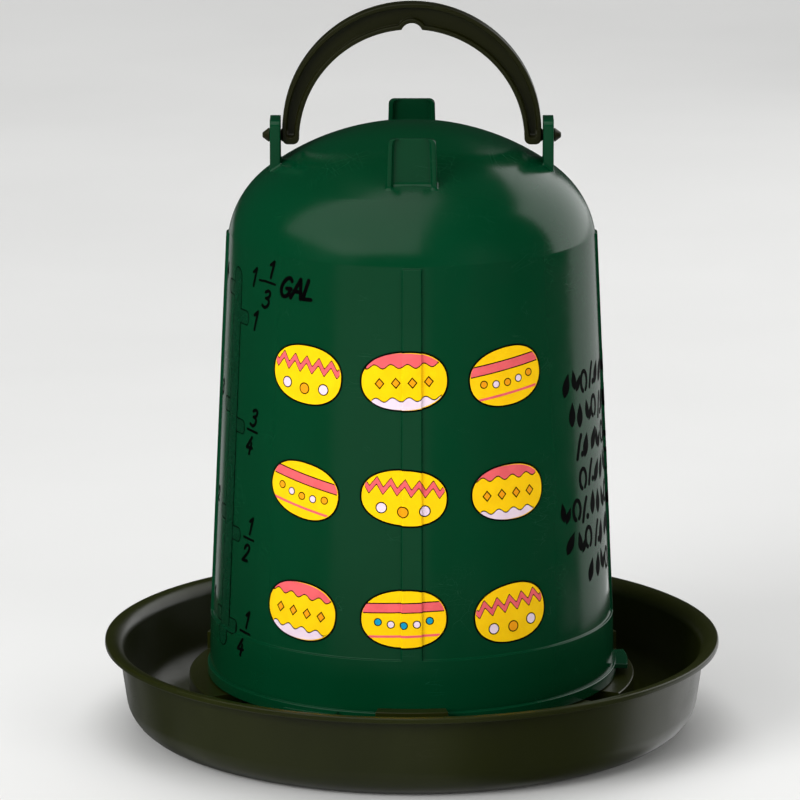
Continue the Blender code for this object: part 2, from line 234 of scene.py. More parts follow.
def soften(bm, width, segments=2, degrees=40):
    """Rounds a bmesh's sharp edges."""
    bmesh.ops.recalc_face_normals(bm, faces=bm.faces)
    edges = [
        e for e in bm.edges if len(e.link_faces) == 2 and e.calc_face_angle(0.0) > math.radians(degrees)
    ]
    bmesh.ops.bevel(
        bm, geom=edges, offset=width, offset_type="OFFSET", segments=segments, profile=0.5,
        affect="EDGES", clamp_overlap=True,
    )


# ---- material helpers ------------------------------------------------------------------------------
class Nodes:
    """Short names for building a node tree."""

    def __init__(self, mat):
        mat.use_nodes = True
        self.tree = mat.node_tree
        self.shader = self.tree.nodes["Principled BSDF"]

    def put(self, kind, inputs=None, **settings):
        n = self.tree.nodes.new(kind)
        for key, value in settings.items():
            setattr(n, key, value)
        for key, value in (inputs or {}).items():
            if isinstance(value, bpy.types.NodeSocket):
                self.tree.links.new(value, n.inputs[key])
            else:
                n.inputs[key].default_value = value
        return n

    def math(self, operation, a, b=0.0, clamp=False):
        return self.put("ShaderNodeMath", {0: a, 1: b}, operation=operation, use_clamp=clamp).outputs[0]

    def noise(self, vector, scale, detail=3.0, roughness=0.55):
        n = self.put("ShaderNodeTexNoise", {"Vector": vector, "Scale": scale, "Detail": detail, "Roughness": roughness})
        return n.outputs["Fac"]

    def remap(self, value, low, high, to_low, to_high):
        n = self.put(
            "ShaderNodeMapRange",
            {"Value": value, "From Min": low, "From Max": high, "To Min": to_low, "To Max": to_high},
        )
        n.clamp = True
        return n.outputs[0]

    def blend(self, factor, a, b, kind="MIX"):
        n = self.put("ShaderNodeMix", {0: factor}, data_type="RGBA", blend_type=kind)
        for index, value in ((6, a), (7, b)):
            if isinstance(value, bpy.types.NodeSocket):
                self.tree.links.new(value, n.inputs[index])
            else:
                n.inputs[index].default_value = (*value, 1.0)
        return n.outputs[2]

    def set(self, name, value):
        if isinstance(value, bpy.types.NodeSocket):
            self.tree.links.new(value, self.shader.inputs[name])
        else:
            self.shader.inputs[name].default_value = value


def scratches(n, place, turn, stretch, scale, width):
    """Thin broken lines: a stretched cell pattern's borders, kept only in patches."""
    spun = n.put(
        "ShaderNodeMapping", {"Vector": place, "Rotation": turn, "Scale": stretch}
    ).outputs[0]
    bent = n.put(
        "ShaderNodeVectorMath",
        {0: spun, 1: n.put("ShaderNodeTexNoise", {"Vector": spun, "Scale": 9.0}).outputs["Color"]},
        operation="ADD",
    ).outputs[0]
    cells = n.put("ShaderNodeTexVoronoi", {"Vector": bent, "Scale": scale}, feature="DISTANCE_TO_EDGE")
    line = n.remap(cells.outputs["Distance"], 0.0, width, 1.0, 0.0)
    patch = n.remap(n.noise(place, 38.0, 2.0), 0.52, 0.68, 0.0, 1.0)
    return n.math("MULTIPLY", line, patch)


def moulded(name, deep, light, worn, roughness, grain=1.0, bevel=0.35, specular=0.5, wear=0.5, coat=0.0):
    """Injection-moulded plastic: faint flow mottling, fine grain, hairline scratches and rubbed edges."""
    mat = bpy.data.materials.new(name)
    n = Nodes(mat)
    place = n.put("ShaderNodeTexCoord").outputs["Object"]

    flow_place = n.put("ShaderNodeMapping", {"Vector": place, "Scale": (1.0, 1.0, 0.35)}).outputs[0]
    flow = n.noise(flow_place, 14.0, 4.0, 0.5)
    cloud = n.remap(flow, 0.35, 0.65, 0.0, 1.0)
    speck = n.noise(place, 1500.0, 2.0)
    colour = n.blend(cloud, deep, light)
    colour = n.blend(n.remap(speck, 0.45, 0.75, 0.0, 0.22), colour, light)

    # rubbed edges: where the rounded normal leaves the flat one
    rounded = n.put("ShaderNodeBevel", {"Radius": bevel * MM}, samples=6).outputs[0]
    flat = n.put("ShaderNodeNewGeometry").outputs["Normal"]
    dot = n.put("ShaderNodeVectorMath", {0: rounded, 1: flat}, operation="DOT_PRODUCT").outputs["Value"]
    edge = n.remap(dot, 0.995, 0.80, 0.0, 1.0)
    rub = n.math("MULTIPLY", edge, n.remap(n.noise(place, 120.0, 4.0), 0.42, 0.62, 0.15, 1.0))
    colour = n.blend(n.math("MULTIPLY", rub, wear), colour, worn)

    fine = scratches(n, place, (0.3, 0.5, 0.9), (1.0, 0.12, 1.0), 70.0, 0.012)
    cross = scratches(n, place, (1.1, 0.2, 2.2), (0.10, 1.0, 1.0), 46.0, 0.010)
    lines = n.math("ADD", fine, cross, True)
    colour = n.blend(n.math("MULTIPLY", lines, 0.16), colour, worn)
    n.set("Base Color", colour)

    patchy = n.remap(n.noise(place, 42.0, 5.0, 0.6), 0.3, 0.7, -0.045, 0.055)
    rough = n.math("ADD", n.math("ADD", patchy, roughness), n.math("MULTIPLY", lines, 0.16))
    rough = n.math("ADD", rough, n.math("MULTIPLY", rub, 0.10), True)
    n.set("Roughness", rough)
    n.set("Specular IOR Level", specular)
    if coat:
        n.set("Coat Weight", coat)
        n.set("Coat Roughness", 0.12)

    sag = n.noise(place, 26.0, 2.0)
    tooth = n.noise(place, 2400.0, 3.0, 0.6)
    bump = n.put("ShaderNodeBump", {"Height": sag, "Strength": 0.35, "Distance": 0.00012, "Normal": rounded}).outputs[0]
    bump = n.put(
        "ShaderNodeBump", {"Height": tooth, "Strength": 0.30 * grain, "Distance": 0.00003, "Normal": bump}
    ).outputs[0]
    bump = n.put(
        "ShaderNodeBump", {"Height": lines, "Strength": 0.25, "Distance": 0.00002, "Normal": bump}, invert=True
    ).outputs[0]
    n.set("Normal", bump)
    mat.diffuse_color = (*light, 1.0)
    return mat


def ink(name, colour, second, roughness=0.34, thin=0.10, specular=0.22):
    """Pad-printed ink: nearly even, with a faint screen grain, pinholes and patchy gloss."""
    mat = bpy.data.materials.new(name)
    n = Nodes(mat)
    place = n.put("ShaderNodeTexCoord").outputs["Object"]
    mottle = n.remap(n.noise(place, 160.0, 4.0), 0.35, 0.65, 0.0, 1.0)
    base = n.blend(mottle, colour, second)
    dots = n.remap(n.noise(place, 3200.0, 1.0), 0.60, 0.78, 0.0, thin)
    base = n.blend(dots, base, tuple(c * 0.55 for c in second))
    n.set("Base Color", base)
    n.set("Roughness", n.remap(n.noise(place, 300.0, 4.0), 0.3, 0.7, roughness - 0.05, roughness + 0.07))
    n.set("Specular IOR Level", specular)
    bump = n.put(
        "ShaderNodeBump", {"Height": n.noise(place, 1800.0, 2.0), "Strength": 0.2, "Distance": 0.00002}
    ).outputs[0]
    n.set("Normal", bump)
    mat.diffuse_color = (*colour, 1.0)
    return mat


# ---- tray ------------------------------------------------------------------------------------------
def tray_outline():
    lean = TRAY_LEAN
    low = TRAY_LIP_Z - TRAY_LIP_BAND
    points = [(0, WELL_Z - WELL_T), (92.0, WELL_Z - WELL_T)]
    points += [(95.3, WELL_Z - WELL_T, 0.8, 3), (95.3, 0, 0.5, 2), (97.0, 0)]
    points += [(x, z) for x, z in arc(TRAY_FOOT_R, TRAY_CORNER_R, TRAY_CORNER_R, -math.pi / 2, -lean, 18)]
    points += [(TRAY_WALL_R, TRAY_WALL_TOP_Z, 1.0, 3)]
    points += [(TRAY_LIP_R, low, 0.5, 3), (TRAY_LIP_R, TRAY_LIP_Z, 0.75, 5)]
    points += arc(TRAY_LIP_R - 1.9, TRAY_LIP_Z - FLARE_R, FLARE_R, math.pi / 2, math.pi - lean, 14)
    points += arc(TRAY_FOOT_R, TRAY_CORNER_R, TRAY_CORNER_R - TRAY_T, -lean, -math.pi / 2, 16)
    points += arc(RING_R + RING_FILLET, TRAY_T + RING_FILLET, RING_FILLET, -math.pi / 2, -math.pi, 7)
    points += [(RING_R, RING_Z, 0.8, 5), (RING_BORE_R, RING_Z, 0.8, 5), (RING_BORE_R, WELL_Z, 1.2, 4)]
    points += [(60.0, WELL_Z), (30.0, WELL_Z), (0, WELL_Z)]
    return round_corners(points, closed=False)


def make_tray(mat):
    tray = make("tray_moulding", spin(tray_outline(), 240))
    nose, post_in, post_out = CLIP_R
    clip = [
        (post_in, RING_Z - 1.6), (post_out, RING_Z - 1.6), (post_out, CLIP_TOP_Z), (nose, CLIP_TOP_Z),
        (nose, CLIP_UNDER_Z), (post_in, CLIP_UNDER_Z),
    ]
    bm = bmesh.new()
    for angle in CLIP_ANGLES:
        arc_block(bm, clip, angle, CLIP_HALF, 14)
    soften(bm, 0.45, 3)
    boolean(tray, make("tool", bm), "UNION")

    bm = bmesh.new()
    for angle in NOTCH_ANGLES:
        arc_block(bm, [(79.0, NOTCH_Z), (99.5, NOTCH_Z), (99.5, RING_Z + 3), (79.0, RING_Z + 3)], angle, NOTCH_HALF, 8)
    r0, r1, top = RING_POCKET
    for angle in NOTCH_ANGLES:
        arc_block(
            bm, [(r0, WELL_Z - WELL_T - 1), (r1, WELL_Z - WELL_T - 1), (r1, top), (r0, top)],
            angle + 60.0, 60.0 - NOTCH_HALF - 1.4, 60,
        )
    boolean(tray, make("tool", bm), "DIFFERENCE")
    tidy(tray)
    tray.data.materials.clear()
    tray.data.materials.append(mat)
    return tray


# ---- fount -----------------------------------------------------------------------------------------
def wall_r(z):
    return LEDGE_R - WALL_DRAFT * (z - LEDGE_Z)


def surface_r(degrees, z):
    """Radius of the fount's outside between the flange and the dome, ribs and sunk panels included."""
    off = abs((degrees + 45.0) % 90.0 - 45.0)
    panel = smooth((off - (RIB_HALF - 0.28)) / 0.45)
    if z > RIB_TOP_Z - 0.1:
        panel = max(panel, smooth((z - (RIB_TOP_Z - 0.1)) / 0.6))
    panel *= smooth((z - (LEDGE_Z - 0.12)) / 0.42)
    base = wall_r(z) if z >= LEDGE_Z else LEDGE_R + (SKIRT_R - LEDGE_R) * (LEDGE_Z - z) / (LEDGE_Z - 28.6)
    return base - PANEL_SINK * panel


def dome_outline(offset, shoulder_steps, crown_steps):
    cr, cz, radius = SHOULDER
    top, crown = CROWN
    points = arc(cr, cz, radius - offset, SHOULDER_START, SHOULDER_END, shoulder_steps)
    points += arc(0.0, top, crown - offset, SHOULDER_END, math.pi / 2, crown_steps)[1:]
    points[-1] = (0.0, points[-1][1])
    return points


def dome_z(r):
    cr, cz, radius = SHOULDER
    if r < cr + radius * math.cos(SHOULDER_END):
        return CROWN[0] + math.sqrt(CROWN[1] ** 2 - r * r)
    return cz + math.sqrt(max(0.0, radius**2 - (r - cr) ** 2))


def fount_angles():
    steps = [0.0, 1.4, 2.5, 2.72, 2.82, 2.94, 3.06, 3.17, 3.35]
    quarter = steps + [4.5 + 1.5 * k for k in range(28)]
    angles = set()
    for base in (0, 90, 180, 270):
        for a in quarter:
            angles.add(round((base + a) % 360, 4))
            angles.add(round((base - a) % 360, 4))
    return sorted(angles)


def make_fount(mat):
    foot = round_corners([
        (SKIRT_R - FOUNT_T - 0.2, FOUNT_FOOT_Z, 0.5, 3), (FLANGE_R, FOUNT_FOOT_Z, 0.5, 3),
        (FLANGE_R, FLANGE_TOP_Z, 0.55, 5), (SKIRT_R - 0.12, FLANGE_TOP_Z, 0.12, 2),
        (SKIRT_R - 0.12, FLANGE_TOP_Z + 0.5, 0.2, 2), (SKIRT_R, FLANGE_TOP_Z + 0.9),
    ], closed=False)
    foot[0] = (SKIRT_R - FOUNT_T - 0.2, FOUNT_FOOT_Z)
    rows = [(lambda a, r=r: r, z) for r, z in foot]
    heights = [31.0, 36.0, 42.0, 47.0, 50.2, 50.8, 50.98, 51.06, 51.14, 51.22, 51.30, 51.5, 52.2]
    heights += [56.0 + 9.0 * k for k in range(18)]
    heights += [216.5, 217.8, 218.3, 218.45, 218.6, 218.75, 218.9, 219.1, 219.45]
    rows += [(lambda a, z=z: surface_r(a, z), z) for z in heights]
    dome = dome_outline(0.0, 26, 22)
    first, second = dome[0], dome[1]
    start = wall_r(219.45) - PANEL_SINK
    crease = [(start * 0.45 + first[0] * 0.55 - 0.015, first[1] - 0.18)]
    rows += [(lambda a, r=r: r, z) for r, z in crease + dome]
    inner = dome_outline(FOUNT_T, 16, 12)[::-1]
    inner += [(wall_r(z) - PANEL_SINK - FOUNT_T, z) for z in (180.0, 120.0, 80.0)]
    inner += [(LEDGE_R - PANEL_SINK - FOUNT_T, LEDGE_Z + 1.2), (LEDGE_R - FOUNT_T, LEDGE_Z - 2.0)]
    rows += [(lambda a, r=r: r, z) for r, z in inner]

    bm = bmesh.new()
    angles = fount_angles()
    grid = []
    for radius, z in rows:
        if radius(0.0) < 1e-6:
            grid.append([bm.verts.new((0, 0, z))] * len(angles))
        else:
            grid.append([bm.verts.new(polar(radius(a), a, z)) for a in angles])
    for low, high in zip(grid, grid[1:] + grid[:1]):
        for i in range(len(angles)):
            j = (i + 1) % len(angles)
            corners = []
            for v in (low[i], low[j], high[j], high[i]):
                if v not in corners:
                    corners.append(v)
            if len(corners) > 2:
                bm.faces.new(corners)
    fount = make("fount_moulding", bm)

    bm = bmesh.new()
    for angle in TAB_ANGLES:
        arc_block(bm, [(TAB_R[0], TAB_Z[0]), (TAB_R[1], TAB_Z[0]), (TAB_R[1], TAB_Z[1]), (TAB_R[0], TAB_Z[1])],
                  angle, TAB_HALF, 12)
    soften(bm, 0.4, 3)
    for direction in range(4):
        lug(bm, direction)
    boolean(fount, make("tool", bm), "UNION")
    # the channels of the two side lugs are closed at the top
    near, far, top_w, _ = SIDE_LUG
    bm = bmesh.new()
    for side in (-1, 1):
        skin(bm, [
            [(side * x, y, z) for x, y in ((near + 0.2, -w), (far - 1.0, -w), (far - 1.0, w), (near + 0.2, w))]
            for z, w in ((LUG_TOPS[0] - SIDE_CAP, top_w / 2 - 1.0), (LUG_TOPS[0] - 0.02, top_w / 2 - LUG_CORNER - 1.0))
        ])
    boolean(fount, make("tool", bm), "UNION")
    bm = bmesh.new()
    for side in (-1, 1):
        rod(bm, [(side * 55.0, PIN_HOLE_R), (side * 66.0, PIN_HOLE_R)], 40)
    boolean(fount, make("tool", bm), "DIFFERENCE")
    tidy(fount)
    fount.data.materials.clear()
    fount.data.materials.append(mat)
    return fount


def lug_section(width, depth):
    half, inner, back = width / 2, width / 2 - LUG_WALL, depth - LUG_WALL
    soft = min(back, 1.5)
    return [
        (-half, 0, 0.55, 3), (-inner, 0, 0.45, 3), (-inner, back, soft, 5),
        (inner, back, soft, 5), (inner, 0, 0.45, 3), (half, 0, 0.55, 3),
        (half, depth, 0.55, 3), (-half, depth, 0.55, 3),
    ]


def lug(bm, direction):
    near, far, top_w, root_w = (SIDE_LUG, REAR_LUG, SIDE_LUG, FRONT_LUG)[direction]
    top_z = LUG_TOPS[direction]
    angle = math.radians(90 * direction)
    c, s = round(math.cos(angle)), round(math.sin(angle))

    def place(section, rise):
        loop = []
        for u, v in section:
            r = far - v if direction == 3 else near + v
            x, y = c * r - s * u, s * r + c * u
            z = rise if rise > 100 else dome_z(math.hypot(x, y)) + rise
            loop.append((x, y, z))
        return loop

    loops = []
    root = round_corners(lug_section(root_w, far - near))
    for amount, rise in ((0.74, -1.3), (0.74, -0.20), (0.50, 0.10), (0.28, 0.36), (0.12, 0.70), (0.03, 1.05), (0.0, 1.5)):
        loops.append(place(grow(root, amount), rise))
    corner = LUG_CORNER
    loops.append(place(round_corners(lug_section(top_w, far - near)), top_z - corner))
    for degrees in (18, 36, 54, 72):
        a = math.radians(degrees)
        width = top_w - 2 * corner * (1 - math.cos(a))
        loops.append(place(round_corners(lug_section(width, far - near)), top_z - corner * (1 - math.sin(a))))
    width = top_w - 2 * corner * 0.86
    loops.append(place(grow(round_corners(lug_section(width, far - near)), -0.04), top_z - 0.10))
    loops.append(place(grow(round_corners(lug_section(width, far - near)), -0.22), top_z))
    skin(bm, loops)


def rod(bm, stations, sides):
    loops = []
    for x, radius in stations:
        loops.append([
            (x, radius * math.cos(2 * math.pi * i / sides), PIVOT_Z + radius * math.sin(2 * math.pi * i / sides))
            for i in range(sides)
        ])
    skin(bm, loops)


# ---- handle ----------------------------------------------------------------------------------------
def reach(centre, radius, a):
    """How far along a ray from the outer arch's centre the circle's far side lies, or 0."""
    lift = ARCH_OUTER[0] - centre
    b, c = lift * math.sin(a), lift * lift - radius * radius
    inside = b * b - c
    return -b + math.sqrt(inside) if inside > 0 else 0.0


def handle_section(width, half, rim_out, rim_in, depth):
    """Half of the I-section as (distance in from the outer edge, y), outer edge to inner edge, on the -Y side."""
    e = min(0.5, width * 0.12)
    g = min(0.22, width * 0.05)
    deep = half - depth
    f = min(0.55, depth * 0.45)
    return [
        (0.0, -half * 0.5), (0.0, -half + e), (0.13 * e, -half + 0.5 * e), (0.5 * e, -half + 0.13 * e), (e, -half),
        (rim_out - g, -half), (rim_out, -half + min(g, depth * 0.3)),
        (rim_out + 0.16, -deep - f), (rim_out + 0.16 + 0.3 * f, -deep - 0.3 * f), (rim_out + 0.16 + f, -deep),
        (width - rim_in - 0.16 - f, -deep), (width - rim_in - 0.16 - 0.3 * f, -deep - 0.3 * f),
        (width - rim_in - 0.16, -deep - f), (width - rim_in, -half + min(g, depth * 0.3)), (width - rim_in + g, -half),
        (width - e, -half), (width - 0.5 * e, -half + 0.13 * e), (width - 0.13 * e, -half + 0.5 * e),
        (width, -half + e), (width, -half * 0.5),
    ]


def make_handle(mat):
    full = HANDLE_HALF - WEB_HALF
    stations = []       # outer point, direction inwards, width, half depth, outer rim, inner rim, recess depth
    for k in range(8):
        a = math.radians(90 * k / 7)
        ox, oz = 53.2 + 2.2 * math.sin(a), 259.7 - 2.2 * math.cos(a)
        ix = 50.9 - 2.6 * math.sin(a)
        iz = 260.1 - 2.6 * math.cos(a)
        width = math.hypot(ox - ix, oz - iz)
        half = HANDLE_HALF - 0.5 * (1 - math.sin(a)) ** 2
        stations.append(((ox, oz), ((ix - ox) / width, (iz - oz) / width), width, half,
                         min(RIM, width * 0.3), min(RIM, width * 0.3), 0.02))
    for z, depth, narrow in ((260.35, 0.25, 1.3), (260.55, 1.1, 0.75), (260.8, 2.1, 0.4), (261.15, 2.75, 0.15),
                             (261.7, full, 0.0), (262.4, full, 0.0)):
        ox, ix = 55.4 + 0.05 * (z - 259), 48.3
        stations.append(((ox, z), (-1.0, 0.0), ox - ix, HANDLE_HALF, RIM + narrow, RIM + narrow, depth))
    angles = [1.2 + 1.9 * k for k in range(41)]
    angles = [a for a in angles if a < 73.5]
    x = 12.5
    while x > 0.05:
        angles.append(90.0 - math.degrees(math.asin(x / 46.0)))
        x -= 0.28 if x < 7.4 else 0.9
    for degrees in angles + [90.0]:
        a = math.radians(degrees)
        inner = max(reach(*ARCH_INNER, a), reach(*HANG_NOTCH, a))
        inner_rim = max(reach(ARCH_INNER[0], ARCH_INNER[1] + RIM, a), reach(HANG_NOTCH[0], HANG_NOTCH[1] + RIM, a))
        outer = ARCH_OUTER[1]
        stations.append((
            (outer * math.cos(a), ARCH_OUTER[0] + outer * math.sin(a)), (-math.cos(a), -math.sin(a)),
            outer - inner, HANDLE_HALF, RIM, inner_rim - inner, full,
        ))
    loops = []
    for (ox, oz), (dx, dz), width, half, rim_out, rim_in, depth in stations:
        front = handle_section(width, half, rim_out, rim_in, depth)
        section = front + [(t, -y) for t, y in reversed(front)]
        loops.append([(ox + dx * t, y, oz + dz * t) for t, y in section])
    loops += [[(-x, y, z) for x, y, z in loop] for loop in reversed(loops[:-1])]
    bm = bmesh.new()
    skin(bm, loops)
    handle = make("handle_moulding", bm)
    bm = bmesh.new()
    for side in (-1, 1):
        # each pin leaves its leg over a small shoulder, and ends in a snap head
        rod(bm, [
            (side * 53.0, 2.85), (side * 55.62, 2.85), (side * 55.8, 2.72), (side * 55.95, 2.5), (side * 56.05, PIN_R),
            (side * 60.75, PIN_R), (side * 61.0, 2.72), (side * 61.12, 2.9), (side * 61.4, 2.95),
            (side * 61.6, 2.88), (side * 63.7, 1.32), (side * 64.0, 1.05), (side * 64.1, 0.7),
        ], 36)
    boolean(handle, make("tool", bm), "UNION")
    tidy(handle)
    handle.data.materials.clear()
    handle.data.materials.append(mat)
    return handle


# ---- print on the fount ----------------------------------------------------------------------------
def wrap(name, flat, degrees, z0, lift, mat, cuts_z=(), fine=1.6):
    """Wraps a flat bmesh (x along the wall, y up) onto the fount as a thin closed skin of ink."""
    bmesh.ops.remove_doubles(flat, verts=flat.verts, dist=1e-3)
    radius = wall_r(z0) - PANEL_SINK
    low = min(v.co.x for v in flat.verts)
    high = max(v.co.x for v in flat.verts)
    cuts = []
    k = math.floor(low / fine)
    while k * fine < high:
        cuts.append(k * fine)
        k += 1
    for base in (0, 90, 180, 270, 360):
        for off in (2.72, 2.82, 2.94, 3.06, 3.17):
            for sign in (-1, 1):
                u = math.radians(base + sign * off - degrees) * radius
                cuts.append(u)
    for u in cuts:
        if low < u < high:
            bmesh.ops.bisect_plane(
                flat, geom=flat.verts[:] + flat.edges[:] + flat.faces[:], dist=1e-4,
                plane_co=(u, 0, 0), plane_no=(1, 0, 0),
            )
    for z in cuts_z:
        bmesh.ops.bisect_plane(
            flat, geom=flat.verts[:] + flat.edges[:] + flat.faces[:], dist=1e-4,
            plane_co=(0, z - z0, 0), plane_no=(0, 1, 0),
        )
    flat.verts.index_update()
    flat.normal_update()
    top, base = {}, {}
    bm = bmesh.new()
    for v in flat.verts:
        a = degrees + math.degrees(v.co.x / radius)
        z = z0 + v.co.y
        r = surface_r(a, z)
        top[v.index] = bm.verts.new(polar(r + lift, a, z))
        base[v.index] = bm.verts.new(polar(r - 0.06, a, z))
    for f in flat.faces:
        upper = [top[v.index] for v in f.verts]
        lower = [base[v.index] for v in f.verts]
        if f.normal.z < 0:
            upper.reverse()
            lower.reverse()
        bm.faces.new(upper)
        bm.faces.new(lower[::-1])
    for e in flat.edges:
        if len(e.link_faces) == 1:
            a, b = e.verts
            bm.faces.new((top[a.index], top[b.index], base[b.index], base[a.index]))
    flat.free()
    obj = make(name, bm, 50)
    obj.data.materials.append(mat)
    return obj


def disc(bm, points):
    bm.faces.new([bm.verts.new((x, y, 0)) for x, y in points])


def oval_points(w, h, inset=0.0, steps=72, tilt=0.0):
    """A soft, slightly square oval."""
    out = []
    for i in range(steps):
        a = 2 * math.pi * i / steps
        c, s = math.cos(a), math.sin(a)
        p = 2.25
        k = (abs(c) ** p + abs(s) ** p) ** (-1 / p)
        x, y = (w - inset) * k * c, (h - inset) * k * s * (1 + 0.04 * c)
        out.append((x * math.cos(tilt) - y * math.sin(tilt), x * math.sin(tilt) + y * math.cos(tilt)))
    return out


def oval_half(w, h, x):
    """Half height of the oval at x."""
    p = 2.25
    return h * max(0.0, 1 - (abs(x) / w) ** p) ** (1 / p)


def band(bm, w, h, low, high, step=0.55):
    """The part of an oval between two curves."""
    xs = []
    x = -w
    while x < w:
        xs.append(x)
        x += step
    xs.append(w)
    previous = None
    for x in xs:
        edge = oval_half(w, h, x)
        a, b = max(low(x), -edge), min(high(x), edge)
        current = (x, a, b) if b - a > 0.02 else None
        if previous and current:
            bm.faces.new([
                bm.verts.new((previous[0], previous[1], 0)), bm.verts.new((current[0], current[1], 0)),
                bm.verts.new((current[0], current[2], 0)), bm.verts.new((previous[0], previous[2], 0)),
            ])
        previous = current


def spot(bm, x, y, r, ry=None, steps=28):
    ry = ry or r
    disc(bm, [(x + r * math.cos(2 * math.pi * i / steps), y + ry * math.sin(2 * math.pi * i / steps)) for i in range(steps)])


def leaf(bm, x, y, length, width, turn, steps=10):
    """A pointed seed or leaf shape."""
    pts = []
    for i in range(steps + 1):
        t = i / steps
        pts.append((t * length - length / 2, width / 2 * math.sin(math.pi * t**0.8)))
    for i in range(steps - 1, 0, -1):
        t = i / steps
        pts.append((t * length - length / 2, -width / 2 * math.sin(math.pi * t**0.8)))
    c, s = math.cos(turn), math.sin(turn)
    disc(bm, [(x + px * c - py * s, y + px * s + py * c) for px, py in pts])


def stroke(bm, points, width):
    """A pen stroke with round ends along a line of points."""
    points = [Vector(p) for p in points]
    left, right = [], []
    for i, p in enumerate(points):
        a = points[max(0, i - 1)]
        b = points[min(len(points) - 1, i + 1)]
        d = (b - a).normalized()
        normal = Vector((-d.y, d.x)) * width / 2
        left.append(p + normal)
        right.append(p - normal)
    start = (points[1] - points[0]).normalized()
    end = (points[-1] - points[-2]).normalized()
    cap = []
    for centre, direction, base in ((points[-1], end, left[-1]), (points[0], -start, right[0])):
        side = []
        a0 = math.atan2((base - centre).y, (base - centre).x)
        for k in range(1, 6):
            a = a0 - math.pi * k / 6
            side.append(centre + Vector((math.cos(a), math.sin(a))) * width / 2)
        cap.append(side)
    for i in range(len(points) - 1):
        bm.faces.new([bm.verts.new((*v, 0)) for v in (right[i], right[i + 1], left[i + 1], left[i])])
    bm.faces.new([bm.verts.new((*v, 0)) for v in [left[-1]] + cap[0] + [right[-1]]])
    bm.faces.new([bm.verts.new((*v, 0)) for v in [right[0]] + cap[1] + [left[0]]])


PRINTS = {}


def hold_print(obj):
    """Keeps a piece of print until every piece in its ink can be one mesh."""
    PRINTS.setdefault(obj.data.materials[0], []).append(obj)
    return obj


def join_prints():
    """One mesh for each ink, carried by the fount."""
    for mat, pieces in PRINTS.items():
        bm = bmesh.new()
        for piece in pieces:
            bm.from_mesh(piece.data)
            bpy.data.objects.remove(piece, do_unlink=True)
        mesh = bpy.data.meshes.new("print_" + mat.name)
        bm.to_mesh(mesh)
        bm.free()
        obj = bpy.data.objects.new("print_" + mat.name, mesh)
        SCENE.collection.objects.link(obj)
        shade(obj, 50)
        mesh.materials.append(mat)
        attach(obj, "fount")


OVAL_COLUMNS = (236.5, 267.7, 299.5)
OVAL_ROWS = (171.0, 121.2, 69.0)


